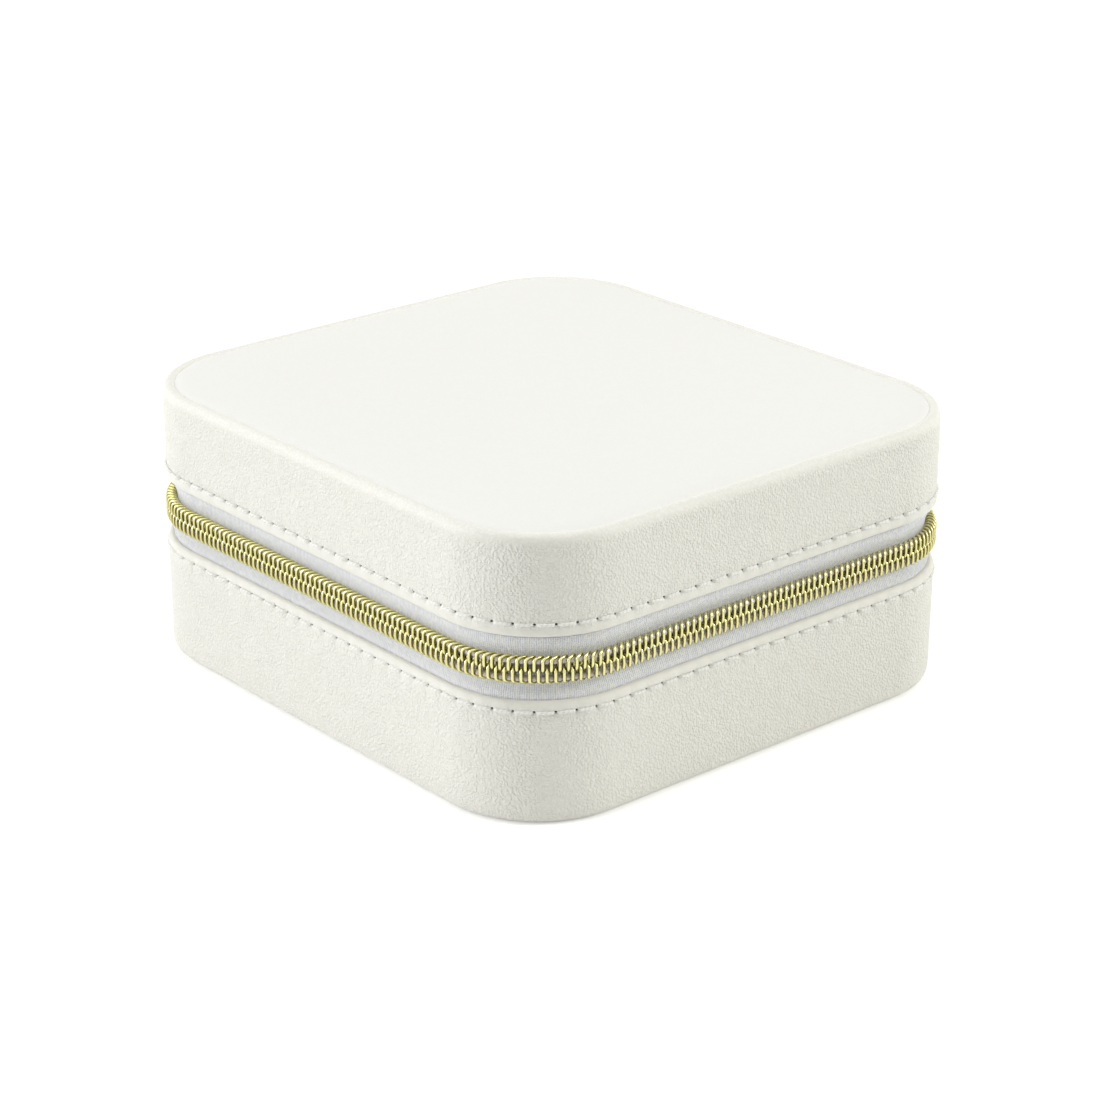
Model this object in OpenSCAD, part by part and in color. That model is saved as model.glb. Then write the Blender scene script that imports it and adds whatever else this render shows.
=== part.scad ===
// Travel jewelry box: a rounded square case in pebbled leather with a zip all round,
// a padded lid hinged on a leather strip at the back, and a velvet tray inside.
// Millimetres, +Z up, front towards -Y, hinge at +Y, origin at the middle of the underside.

/* [Case] */
// width of the case, side to side
box_w = 100; // [92:1:116]
// depth of the case, front to back
box_d = 94.5; // [88:0.5:112]
// height of the padded top above the table
box_h = 45.6; // [44:0.2:56]
// radius of the upright corners
corner_r = 17.5; // [15:0.5:22]
// height of the zip's centre line
zip_z = 24.8; // [23:0.2:26]
// visible gap between the leather of the base and of the lid
zip_gap = 9.6; // [9.2:0.1:11]

/* [Leather] */
// thickness of the leather
leather_t = 1; // [0.8:0.05:1.1]
// thickness of the leather where its edge is folded and stitched
hem_t = 1.65; // [1.5:0.05:1.8]
// height of the folded edge
hem_h = 4.6; // [4:0.1:5.4]
// rounding of the edge that the base stands on
foot_r = 1.6; // [1.3:0.1:2]
// width of the soft bead round the top of the lid
bead_w = 2.3; // [2:0.1:2.6]
// how far the padded top stands above the bead
top_rise = 0.6; // [0.3:0.1:1]
// rounding of the padded top's edge
top_edge_r = 0.9; // [0.6:0.1:1]
// distance from the leather's folded edge to its stitch line
stitch_inset = 2.1; // [1.8:0.1:2.4]
// distance from one stitch to the next
stitch_pitch = 3.1; // [2.8:0.1:3.6]
// length of one stitch
stitch_l = 2.3; // [1.8:0.1:2.5]
// thickness of the sewing thread
thread_d = 0.56; // [0.45:0.01:0.6]

/* [Zip] */
// thickness of the zip tape
tape_t = 0.6; // [0.5:0.05:0.65]
// free channel between the two tapes, behind the coils
tape_channel = 1.2; // [1.1:0.05:1.3]
// distance from one coil turn to the next
coil_pitch = 1.18; // [1.15:0.01:1.4]
// thickness of the coil's wire
coil_wire = 0.42; // [0.36:0.01:0.44]
// height of one coil, from its outer turn to its heads
coil_h = 2.35; // [2.2:0.05:2.5]
// how far the heads of the two coils reach past each other
head_lap = 0.6; // [0.5:0.05:0.7]
// how far the coil stands back from the leather's surface
coil_back = 0.1; // [0.05:0.05:0.2]

/* [Slider] */
// length of the slider
slider_l = 9.6; // [9:0.1:10.5]
// width of the slider across the zip
slider_w = 7.2; // [6.9:0.1:7.6]
// thickness of the slider's two plates
plate_t = 0.85; // [0.7:0.05:0.9]
// length of the pull tab
pull_l = 24; // [18:0.5:28]
// width of the pull tab
pull_w = 5.6; // [5:0.1:6.4]
// thickness of the pull tab
pull_t = 0.9; // [0.8:0.05:1.1]

/* [Boards and lining] */
// thickness of the card walls
board_t = 2.6; // [2.3:0.1:3]
// thickness of the velvet lining in the lid
lining_t = 0.5; // [0.4:0.05:0.6]
// clearance between the lid's lining and the rim that guides it
rim_gap = 0.5; // [0.5:0.05:0.7]
// thickness of the rim
rim_t = 1.8; // [1.5:0.1:2.2]
// height of the rim above the zip's centre line
rim_rise = 8.2; // [6.5:0.1:8.4]
// how far each end of the hinge strip stops short of the rounded corner
strip_short = 2; // [1.5:0.5:8]

/* [Tray] */
// number of ring rolls
roll_n = 7; // [6:1:8]
// height of the ring rolls above the velvet floor
roll_h = 20.5; // [16:0.5:22]
// share of the tray's depth that the ring rolls fill
roll_share = 0.49; // [0.44:0.01:0.54]
// thickness of the dividers
divider_t = 1.8; // [1.5:0.1:2.4]
// height of the dividers above the velvet floor
divider_h = 24; // [18:0.5:25]
// width of the mirror in the lid
mirror_w = 62; // [50:1:66]
// depth of the mirror in the lid
mirror_d = 54; // [44:1:60]

/* [Output] */
// the piece to draw

/* [Hidden] */
$fn = 64;
run_x = box_w - 2 * corner_r;
run_y = box_d - 2 * corner_r;

// layers of the wall, counted inwards from the leather's surface
tape_in = hem_t + 0.05;
tape_back = tape_in + tape_t;
board_in = leather_t;
board_back = board_in + board_t;
lining_back = board_back + lining_t;
rim_in = lining_back + rim_gap;
rim_back = rim_in + rim_t;
coil_depth = tape_in - coil_back;
coil_in = coil_back + coil_depth / 2;
coil_r = corner_r - coil_in;

// heights
base_edge = zip_z - zip_gap / 2;
lid_edge = zip_z + zip_gap / 2;
board_low = base_edge + 0.3;
board_high = lid_edge - 0.5;
floor_t = 1.2;
floor_board_t = 2.2;
floor_top = floor_t + floor_board_t;
velvet_t = 0.8;
tray_floor = floor_top + velvet_t;
rim_top = zip_z + rim_rise;
bead_top = box_h - top_rise;
bead_mid = bead_top - bead_w / 2;
top_t = 1.3;
foam_t = 1.6;
foam_low = box_h - top_t - foam_t;
card_t = 2;
card_low = foam_low - card_t;
panel_t = 1.4;
panel_low = card_low - panel_t;
glass_t = 1.2;
glass_low = panel_low - glass_t;
low_stitch_z = base_edge - stitch_inset;
high_stitch_z = lid_edge + stitch_inset;

// stitches lie in a groove pressed into the leather
groove_r = thread_d / 2 + 0.06;
thread_out = 0.02;
loop_length = 2 * run_x + 2 * run_y + 2 * PI * (corner_r + thread_out);
stitch_n = floor(loop_length / stitch_pitch);

// the slider stands closed at the back end of the left side
stop_l = 1.5;
slider_y = run_y / 2 - 0.4 - stop_l - 0.3 - slider_l / 2;
neck_l = 2;
neck_y = slider_y + slider_l / 2 - 1.4;
coil_arc = coil_r * PI / 2;
chain_start = 2 * coil_wire;
chain_end = 3 * coil_arc + run_x + run_y + (neck_y - neck_l / 2 - coil_pitch + run_y / 2);
coil_n = floor((chain_end - chain_start) / coil_pitch - 0.5);
coil_mid = coil_h / 2 - head_lap / 2;

// the slider's plates, counted outwards from the leather's surface
front_low = 0.15 - min(coil_back, 0.1);
front_high = front_low + plate_t;
back_high = -tape_back - 0.2;
back_low = back_high - plate_t;
lip_t = 0.6;
lip_reach = tape_in - 0.25;
neck_w = tape_channel - 0.3;
bow_r = 2.6;
bow_wire = 1.1;
pin_r = 0.5;
pin_out = front_high + 1;

// the hinge strip, whose middle is the line that the lid turns about
strip_gap = 0.15;
strip_end = run_x / 2 - strip_short;

leather = [0.93, 0.92, 0.89];
leather_top = [0.96, 0.95, 0.94];
card = [0.72, 0.66, 0.56];
velvet = [0.86, 0.83, 0.8];
gold = [0.87, 0.76, 0.42];
tape_white = [0.86, 0.87, 0.88];
thread_white = [0.95, 0.94, 0.91];

// ---- helpers ----

// the case's outline, drawn "inset" inside the leather's surface
module outline(inset) {
  r = corner_r - inset;
  square([run_x, box_d - 2 * inset], center = true);
  square([box_w - 2 * inset, run_y], center = true);
  for (x = [-run_x / 2, run_x / 2], y = [-run_y / 2, run_y / 2]) {
    translate([x, y]) circle(r);
  }
}

// a flat plate between two heights
module slab(inset, low, high) {
  translate([0, 0, low]) linear_extrude(high - low) outline(inset);
}

// a profile [outwards, up] carried round one corner: 0 back right, then clockwise
module round_corner(k) {
  translate([k < 2 ? run_x / 2 : -run_x / 2, k == 0 || k == 3 ? run_y / 2 : -run_y / 2, 0])
    rotate(-90 * k)
    rotate_extrude(angle = 90)
    translate([corner_r, 0])
    children();
}

// a profile carried along one side: 0 right, 1 front, 2 left, 3 back
module along_side(k, from, to) {
  out = k % 2 == 0 ? box_w / 2 : box_d / 2;
  rotate(-90 * k)
    translate([out, -from, 0])
    rotate([90, 0, 0])
    linear_extrude(to - from)
    children();
}

// a profile carried all round the case
module all_round() {
  for (k = [0:3]) {
    half = (k % 2 == 0 ? run_y : run_x) / 2;
    round_corner(k) children();
    along_side(k, -half, half) children();
  }
}

// a profile carried round the case as far as the hinge strip's two ends
module round_to_strip() {
  for (k = [0:3]) {
    round_corner(k) children();
  }
  for (k = [0:2]) {
    half = (k % 2 == 0 ? run_y : run_x) / 2;
    along_side(k, -half, half) children();
  }
  along_side(3, -run_x / 2, -strip_end - strip_gap) children();
  along_side(3, strip_end + strip_gap, run_x / 2) children();
}

// where the k-th corner starts on a line whose corner arcs are "arc" long
function corner_start(k, arc) =
  k * arc + (k > 0 ? run_y : 0) + (k > 1 ? run_x : 0) + (k > 2 ? run_y : 0);

// a piece put "s" along the line of corner radius r, with +X outwards
module on_line(s, r) {
  arc = r * PI / 2;
  k = s < corner_start(1, arc) ? 0 : s < corner_start(2, arc) ? 1 : s < corner_start(3, arc) ? 2 : 3;
  t = s - corner_start(k, arc);
  translate([k < 2 ? run_x / 2 : -run_x / 2, k == 0 || k == 3 ? run_y / 2 : -run_y / 2, 0])
    rotate(90 - 90 * k - 90 * min(t / arc, 1))
    translate([r, -max(t - arc, 0), 0])
    children();
}

// a square between two corners given as [outwards, up]
module patch(a, b) {
  translate([min(a[0], b[0]), min(a[1], b[1])]) square([abs(b[0] - a[0]), abs(b[1] - a[1])]);
}

// ---- leather ----

// folded edge of the leather: flat side away from the zip, a rolled end next to it
module hem(edge, way) {
  end_r = hem_t / 2;
  patch([-hem_t, edge + way * end_r], [0, edge + way * hem_h]);
  translate([-end_r, edge + way * end_r]) circle(end_r);
}

module stitch_groove(z) {
  translate([thread_out, z]) circle(groove_r);
}

module base_leather_band() {
  color(leather) all_round() difference() {
    union() {
      patch([-leather_t, foot_r], [0, base_edge - hem_h]);
      hem(base_edge, -1);
      intersection() {
        translate([-foot_r, foot_r]) circle(foot_r);
        patch([-foot_r, 0], [0, foot_r]);
      }
      patch([-foot_r - 0.5, 0], [-foot_r, floor_t]);
    }
    patch([-foot_r - 0.5, floor_t], [-leather_t, foot_r]);
    stitch_groove(low_stitch_z);
  }
}

module base_bottom_panel() {
  color(leather) slab(foot_r + 0.55, 0, floor_t);
}

module lid_leather_band() {
  color(leather) all_round() difference() {
    union() {
      patch([-leather_t, lid_edge + hem_h], [0, bead_mid]);
      hem(lid_edge, 1);
      translate([-bead_w / 2, bead_mid]) circle(bead_w / 2);
    }
    stitch_groove(high_stitch_z);
  }
}

// the padded top: flat leather with a rounded edge that dips beside the bead
module lid_top_panel() {
  edge = bead_w + 0.15;
  color(leather_top) union() {
    slab(edge, box_h - top_t, box_h - top_edge_r);
    slab(edge + top_edge_r, box_h - top_edge_r, box_h);
    all_round() intersection() {
      translate([-edge - top_edge_r, box_h - top_edge_r]) circle(top_edge_r);
      patch([-edge - top_edge_r, box_h - top_edge_r], [-edge, box_h]);
    }
  }
}

module stitches(z) {
  for (i = [0:stitch_n - 1]) {
    on_line((i + 0.5) * loop_length / stitch_n, corner_r + thread_out) {
      translate([0, 0, z]) rotate([90, 0, 0]) {
        cylinder(h = stitch_l - thread_d, d = thread_d, center = true);
        for (e = [-1, 1]) {
          translate([0, 0, e * (stitch_l - thread_d) / 2]) sphere(d = thread_d);
        }
      }
    }
  }
}

module base_stitching() {
  color(thread_white) stitches(low_stitch_z);
}

module lid_stitching() {
  color(thread_white) stitches(high_stitch_z);
}

// ---- card and foam under the leather ----

module base_wall_board() {
  color(card) all_round() {
    patch([-board_back, floor_top], [-board_in, base_edge - hem_h]);
    patch([-board_back, floor_top], [-tape_back, board_low]);
  }
}

module base_floor_board() {
  color(card) slab(board_in, floor_t, floor_top);
}

module lid_wall_board() {
  color(card) all_round() {
    patch([-board_back, lid_edge + hem_h], [-board_in, card_low]);
    patch([-board_back, board_high], [-tape_back, card_low]);
  }
}

module lid_top_board() {
  color(card) slab(board_in, card_low, foam_low);
}

module lid_foam_pad() {
  color([0.95, 0.93, 0.8]) slab(bead_w + 0.15, foam_low, box_h - top_t);
}

// ---- velvet ----

// wall of the tray, stepping back above the base's edge to make the rim that guides the lid
module base_inner_wall() {
  color(velvet) all_round() {
    patch([-rim_back, floor_top], [-board_back, board_low]);
    patch([-rim_back, board_low], [-rim_in, rim_top - rim_t / 2]);
    translate([-rim_in - rim_t / 2, rim_top - rim_t / 2]) circle(rim_t / 2);
  }
}

module base_floor_velvet() {
  color(velvet) slab(rim_back, floor_top, tray_floor);
}

module lid_lining() {
  color(velvet) all_round() patch([-lining_back, board_high], [-board_back, card_low]);
}

module lid_inner_panel() {
  color(velvet) slab(lining_back, panel_low, card_low);
}

// ---- tray ----

tray_d = box_d - 2 * rim_back;
roll_d = tray_d * roll_share;
roll_pitch = roll_d / roll_n;
long_y = -tray_d / 2 + roll_d + 0.1 + divider_t / 2;

module ring_rolls() {
  roll_r = roll_pitch / 2 - 0.04;
  color(velvet) intersection() {
    for (i = [0:roll_n - 1]) {
      translate([-box_w / 2, -tray_d / 2 + (i + 0.5) * roll_pitch, tray_floor]) {
        translate([0, -roll_r, 0]) cube([box_w, 2 * roll_r, roll_h - roll_r]);
        translate([0, 0, roll_h - roll_r]) rotate([0, 90, 0]) cylinder(h = box_w, r = roll_r);
      }
    }
    slab(rim_back + 0.05, tray_floor, tray_floor + roll_h);
  }
}

module divider_long() {
  width = box_w - 2 * rim_back - 0.1;
  color(velvet) translate([-width / 2, long_y - divider_t / 2, tray_floor]) {
    cube([width, divider_t, divider_h - divider_t / 2]);
    translate([0, divider_t / 2, divider_h - divider_t / 2])
      rotate([0, 90, 0]) cylinder(h = width, d = divider_t);
  }
}

module divider_short(x) {
  from = long_y + divider_t / 2 + 0.05;
  depth = tray_d / 2 - 0.05 - from;
  high = divider_h - divider_t / 2;
  color(velvet) translate([x - divider_t / 2, from, tray_floor]) {
    cube([divider_t, depth, high]);
    translate([divider_t / 2, depth, high]) rotate([90, 0, 0]) cylinder(h = depth, d = divider_t);
  }
}

short_x = (box_w - 2 * rim_back) / 6;

module divider_short_left() {
  divider_short(-short_x);
}

module divider_short_right() {
  divider_short(short_x);
}

// ---- mirror ----

frame_w = 1.6;

module mirror_plate(grow, low, high) {
  r = 4 + grow;
  w = mirror_w + 2 * grow;
  d = mirror_d + 2 * grow;
  translate([0, 0, low]) linear_extrude(high - low) {
    square([w - 2 * r, d], center = true);
    square([w, d - 2 * r], center = true);
    for (x = [-w / 2 + r, w / 2 - r], y = [-d / 2 + r, d / 2 - r]) {
      translate([x, y]) circle(r);
    }
  }
}

module mirror() {
  color([0.82, 0.86, 0.88]) mirror_plate(0, glass_low, panel_low);
}

module mirror_frame() {
  color(gold) difference() {
    mirror_plate(frame_w, glass_low - 0.3, panel_low);
    mirror_plate(0.05, glass_low - 1, panel_low + 1);
  }
}

// ---- hinge strip ----

module hinge_strip() {
  color(leather) along_side(3, -strip_end, strip_end)
    patch([-tape_back, base_edge - hem_h], [-tape_in, lid_edge + hem_h]);
}

module hinge_strip_lining() {
  color(velvet) along_side(3, -strip_end + 1, strip_end - 1)
    patch([-board_back, board_low + 0.05], [-tape_back, board_high - 0.05]);
}

// ---- zip ----

module zip_tape_lower() {
  color(tape_white) round_to_strip()
    patch([-tape_back, base_edge - hem_h], [-tape_in, zip_z - tape_channel / 2]);
}

module zip_tape_upper() {
  color(tape_white) round_to_strip()
    patch([-tape_back, zip_z + tape_channel / 2], [-tape_in, lid_edge + hem_h]);
}

// one turn of the coil, a flat oval ring standing across the zip
module coil_turn() {
  end_r = coil_depth / 2;
  straight = coil_h - coil_depth;
  hole_r = end_r - coil_wire;
  rotate([90, 0, 0]) linear_extrude(coil_wire, center = true) difference() {
    union() {
      square([2 * end_r, straight], center = true);
      for (e = [-1, 1]) {
        translate([0, e * straight / 2]) circle(end_r);
      }
    }
    square([2 * hole_r, straight], center = true);
    for (e = [-1, 1]) {
      translate([0, e * straight / 2]) circle(hole_r);
    }
  }
}

module coil_row(z, shift) {
  for (i = [0:coil_n - 1]) {
    on_line(chain_start + (i + shift) * coil_pitch, coil_r) translate([0, 0, z]) coil_turn();
  }
}

module zip_coil_lower() {
  color(gold) coil_row(zip_z - coil_mid, 0);
}

module zip_coil_upper() {
  color(gold) coil_row(zip_z + coil_mid, 0.5);
}

// the cord that the coil is wound and sewn on
module coil_cord(z) {
  cord_r = coil_depth / 2 - coil_wire - 0.04;
  for (k = [0:2]) {
    round_corner(k) translate([-coil_in, z]) circle(cord_r);
  }
  along_side(0, -run_y / 2, run_y / 2) translate([-coil_in, z]) circle(cord_r);
  along_side(1, -run_x / 2, run_x / 2) translate([-coil_in, z]) circle(cord_r);
  along_side(2, -run_y / 2, neck_y - neck_l / 2 - 0.3) translate([-coil_in, z]) circle(cord_r);
}

module zip_cord_lower() {
  color(thread_white) coil_cord(zip_z - coil_mid);
}

module zip_cord_upper() {
  color(thread_white) coil_cord(zip_z + coil_mid);
}

// metal clip closed over the tape's edge where the coil ends
module zip_stop(way) {
  color(gold) translate([0, run_y / 2 - 0.4 - stop_l, zip_z]) rotate([90, 0, 180]) {
    linear_extrude(stop_l) translate([box_w / 2, 0]) difference() {
      patch([-tape_back - 0.6, way * 0.2], [-tape_in + 0.6, way * 2]);
      patch([-tape_back, way * tape_channel / 2], [-tape_in, way * 3]);
    }
  }
}

module zip_stop_lower() {
  zip_stop(-1);
}

module zip_stop_upper() {
  zip_stop(1);
}

// ---- slider and pull ----

// rounded plate of the slider
module slider_plate(low, high) {
  r = 1.6;
  long = slider_l / 2 - r;
  wide = slider_w / 2 - r;
  translate([0, 0, low]) linear_extrude(high - low) {
    square([2 * long, slider_w], center = true);
    square([slider_l, 2 * wide], center = true);
    for (x = [-long, long], y = [-wide, wide]) {
      translate([x, y]) circle(r);
    }
  }
}

// a piece drawn lying down on the left side: +X to the front, +Y up, +Z outwards
module on_left_side() {
  translate([-box_w / 2, slider_y, zip_z]) rotate([90, 0, -90]) children();
}

// two plates held together by a neck at the end where the open rows enter
module slider_body() {
  color(gold) on_left_side() {
    slider_plate(front_low, front_high);
    slider_plate(back_low, back_high);
    for (side = [-1, 1]) {
      translate([-slider_l / 2 + 1.6, side * (slider_w - lip_t) / 2 - lip_t / 2, -lip_reach])
        cube([slider_l - 3.2, lip_t, lip_reach + front_low + 0.1]);
    }
    translate([slider_y - neck_y - neck_l / 2, -neck_w / 2, back_high - 0.1])
      cube([neck_l, neck_w, front_low - back_high + 0.2]);
    translate([0, 0, front_high - 0.1]) rotate([90, 0, 0])
      rotate_extrude(angle = 180) translate([bow_r, 0]) circle(d = bow_wire);
  }
}

// flat tab with a window whose end bar passes under the slider's bow
module pull_tab() {
  arm = 1;
  window = 4;
  end_r = pull_w / 2;
  color(gold) on_left_side() translate([0, 0, pin_out]) {
    translate([0, 0, -pull_t / 2]) linear_extrude(pull_t) difference() {
      union() {
        translate([0, -pull_w / 2]) square([pull_l - end_r, pull_w]);
        translate([pull_l - end_r, 0]) circle(end_r);
      }
      translate([-1, -pull_w / 2 + arm]) square([window + 1, pull_w - 2 * arm]);
      translate([pull_l - end_r, 0]) circle(1.2);
    }
    rotate([90, 0, 0]) cylinder(h = pull_w, r = pin_r, center = true);
  }
}

base_leather_band();
base_bottom_panel();
base_wall_board();
base_floor_board();
base_stitching();
base_inner_wall();
base_floor_velvet();
divider_long();
divider_short_left();
divider_short_right();
ring_rolls();
hinge_strip();
hinge_strip_lining();
zip_tape_lower();
zip_coil_lower();
zip_cord_lower();
zip_stop_lower();
lid_leather_band();
lid_top_panel();
lid_foam_pad();
lid_top_board();
lid_wall_board();
lid_stitching();
lid_lining();
lid_inner_panel();
mirror();
mirror_frame();
zip_tape_upper();
zip_coil_upper();
zip_cord_upper();
zip_stop_upper();
slider_body();
pull_tab();
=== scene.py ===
# %% [markdown]
# # A travel jewelry box
#
# The box is a small rounded square case. Pebbled white leather is wrapped round card
# walls, a gold coil zip runs round the middle, and the lid turns on a leather strip at
# the back. The CAD model gives every piece its size and place. This script dresses the
# pieces: it makes leather that folds and dips at its stitches, a wound coil, woven tape,
# velvet, and a scene to look at them in.

import math

import bmesh
import bpy
import numpy as np
from mathutils import Matrix, Vector


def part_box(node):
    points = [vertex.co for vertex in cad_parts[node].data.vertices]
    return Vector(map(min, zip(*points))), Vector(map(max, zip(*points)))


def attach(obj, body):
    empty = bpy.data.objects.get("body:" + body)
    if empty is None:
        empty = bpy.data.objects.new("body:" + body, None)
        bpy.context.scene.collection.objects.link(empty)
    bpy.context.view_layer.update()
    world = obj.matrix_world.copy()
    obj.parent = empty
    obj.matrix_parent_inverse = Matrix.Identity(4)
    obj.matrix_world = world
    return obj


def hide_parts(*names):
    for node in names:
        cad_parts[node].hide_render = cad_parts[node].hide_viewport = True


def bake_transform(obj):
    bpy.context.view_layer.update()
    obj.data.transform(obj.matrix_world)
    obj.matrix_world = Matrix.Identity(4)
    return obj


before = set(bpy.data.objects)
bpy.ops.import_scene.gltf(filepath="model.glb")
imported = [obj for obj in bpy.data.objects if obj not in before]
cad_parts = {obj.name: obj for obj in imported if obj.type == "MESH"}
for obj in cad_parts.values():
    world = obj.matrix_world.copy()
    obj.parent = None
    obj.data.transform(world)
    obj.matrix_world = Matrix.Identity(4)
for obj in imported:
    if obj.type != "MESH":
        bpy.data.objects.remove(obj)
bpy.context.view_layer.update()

# %% [markdown]
# ## Sizes
#
# Blender counts in metres, so lengths in millimetres are multiplied by MM. The sizes
# come from the boxes of the CAD nodes, so that the dressed pieces cannot drift away from
# the solids that they stand for. Three small drops are added to them: on the sewn case
# the zip sags a little, and the folded edges of the leather come down with it.

# %% Read the sizes from the CAD nodes
MM = 0.001
METRE = 1000.0
BASE_DROP = 0.4
LID_DROP = 0.1
ZIP_SAG = 0.4
CORNER_R = 17.5


def span(node):
    low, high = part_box(node)
    return np.array(low) / MM, np.array(high) / MM


base_low, base_high = span("base_leather_band")
lid_low, lid_high = span("lid_leather_band")
tape_low, tape_high = span("zip_tape_lower")
WIDTH = base_high[0] - base_low[0]
DEPTH = base_high[1] - base_low[1]
RUN_X, RUN_Y = WIDTH - 2 * CORNER_R, DEPTH - 2 * CORNER_R
LOOP = 2 * (RUN_X + RUN_Y) + 2 * math.pi * CORNER_R
BASE_EDGE = base_high[2] - BASE_DROP
LID_EDGE = lid_low[2] - LID_DROP
BEAD_TOP = lid_high[2]
TOP = span("lid_top_panel")[1][2]
ZIP_Z = (base_high[2] + lid_low[2]) / 2 - ZIP_SAG
TAPE_IN = base_high[0] - tape_high[0]
print(f"case {WIDTH:.1f} x {DEPTH:.1f} mm, edges at {BASE_EDGE:.2f} and {LID_EDGE:.2f}, top {TOP:.2f}")

# %% [markdown]
# ## The camera
#
# A long lens from far away keeps the two side walls nearly parallel, as a product
# picture does. The camera looks at a point inside the box from a bearing and a height
# angle, and is rolled by a quarter of a degree.

# %% Place the camera
IMAGE = 1100
CENTRE_X, CENTRE_Y = 547.44, 507.88
FOCAL = 3004.07
SENSOR = 36
DISTANCE = 0.4799
LOOK_AT = Vector((0, 0, 0.025))
AZIMUTH, ELEVATION, ROLL = (math.radians(angle) for angle in (49.233, 21.496, 0.261))

back = Vector((
    math.sin(AZIMUTH) * math.cos(ELEVATION),
    -math.cos(AZIMUTH) * math.cos(ELEVATION),
    math.sin(ELEVATION),
))
level = Vector((math.cos(AZIMUTH), math.sin(AZIMUTH), 0))
upright = back.cross(level)
right = math.cos(ROLL) * level + math.sin(ROLL) * upright
up = -math.sin(ROLL) * level + math.cos(ROLL) * upright
turned = Matrix((right, up, back)).transposed().to_4x4()

camera_data = bpy.data.cameras.new("camera")
camera = bpy.data.objects.new("camera", camera_data)
bpy.context.collection.objects.link(camera)
camera.matrix_world = Matrix.Translation(LOOK_AT + DISTANCE * back) @ turned
camera_data.sensor_width = SENSOR
camera_data.lens = FOCAL * SENSOR / IMAGE
camera_data.shift_x = (IMAGE / 2 - CENTRE_X) / IMAGE
camera_data.shift_y = (CENTRE_Y - IMAGE / 2) / IMAGE
camera_data.clip_start = 0.01
bpy.context.scene.camera = camera
print("lens", round(camera_data.lens, 2), "shift", camera_data.shift_x, camera_data.shift_y)

# %% [markdown]
# ## Writing shaders as sums
#
# A finish is a graph of nodes. It reads best as arithmetic, so one small class wraps a
# socket and adds a Math node for each plus, minus, times or divide. Colours are mixed
# with Mix nodes, because a Math node would turn them grey.

# %% A socket that can be added and multiplied
class Signal:
    def __init__(self, finish, socket):
        self.finish, self.socket = finish, socket

    def __add__(self, other):
        return self.finish.maths("ADD", self, other)

    def __radd__(self, other):
        return self.finish.maths("ADD", other, self)

    def __sub__(self, other):
        return self.finish.maths("SUBTRACT", self, other)

    def __rsub__(self, other):
        return self.finish.maths("SUBTRACT", other, self)

    def __mul__(self, other):
        return self.finish.maths("MULTIPLY", self, other)

    def __rmul__(self, other):
        return self.finish.maths("MULTIPLY", other, self)

    def __truediv__(self, other):
        return self.finish.maths("DIVIDE", self, other)


# %% A finish that makes its own nodes
class Finish:
    """The nodes of a material, or of the world when that is given as the owner."""

    def __init__(self, name, owner=None):
        self.material = owner or bpy.data.materials.new(name)
        self.material.use_nodes = True
        self.tree = self.material.node_tree

    def put(self, socket, value):
        if isinstance(value, Signal):
            self.tree.links.new(value.socket, socket)
        else:
            socket.default_value = value

    def node(self, kind, settings=None, values=None, output=0):
        made = self.tree.nodes.new(kind)
        for key, value in (settings or {}).items():
            setattr(made, key, value)
        for key, value in (values or {}).items():
            self.put(made.inputs[key], value)
        return Signal(self, made.outputs[output])

    def maths(self, operation, *values):
        return self.node("ShaderNodeMath", {"operation": operation}, dict(enumerate(values)))

    def vectors(self, operation, values, output=0):
        return self.node("ShaderNodeVectorMath", {"operation": operation}, values, output)

    def part(self, vector, axis):
        return self.node("ShaderNodeSeparateXYZ", {}, {0: vector}, axis)

    def place(self, scale=METRE):
        """Where the point lies on the object, in millimetres unless another scale is given."""
        return self.vectors("SCALE", {0: self.node("ShaderNodeTexCoord", output="Object"), 3: scale})

    def uv(self, axis, scale=METRE):
        return self.part(self.node("ShaderNodeUVMap"), axis) * scale

    def noise(self, where, scale, detail=2.0, rough=0.5, output=0):
        values = {"Vector": where, "Scale": scale, "Detail": detail, "Roughness": rough}
        return self.node("ShaderNodeTexNoise", {}, values, output)

    def clamp(self, value, low, high):
        """0 up to low, 1 from high on, and a smooth step between them."""
        settings = {"interpolation_type": "SMOOTHSTEP"}
        return self.node("ShaderNodeMapRange", settings, {0: value, 1: low, 2: high})

    def mix(self, share, first, second):
        return self.node("ShaderNodeMix", {"data_type": "RGBA"}, {0: share, 6: first, 7: second}, 2)

    def bump(self, height, depth_mm):
        return self.node("ShaderNodeBump", {}, {"Height": height, "Distance": depth_mm * MM})

    def paint(self, **sockets):
        for name, value in sockets.items():
            self.put(self.tree.nodes["Principled BSDF"].inputs[name.replace("_", " ")], value)
        return self.material


def tone(red, green, blue):
    """A colour as a picture shows it (0 to 255), turned into the light that a shader counts in."""
    shares = [c / 255 for c in (red, green, blue)]
    return tuple(s / 12.92 if s <= 0.04045 else ((s + 0.055) / 1.055) ** 2.4 for s in shares) + (1.0,)


# %% [markdown]
# ## Leather
#
# The leather is coated, with a fine pebble grain: rounded islands about half a millimetre
# across with narrow valleys between them. A Voronoi texture gives the islands, and a
# little noise in its coordinates keeps them from looking like cells. The grain is only a
# few hundredths of a millimetre deep, so a Bump node is enough. The valleys are painted a
# little darker as painted shade, and they are duller than the tops, where hands polish it.
#
# The bands carry a UV map in metres: U runs round the box, and V is the distance from
# the seam, counted towards the folded edge. So the same finish can stretch the grain
# smooth over the fold and sink a small needle hole between every two stitches, darkened
# with painted shade.

# %% Leather finishes
STITCHES = 115
STITCH_STEP = LOOP / STITCHES


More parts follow.
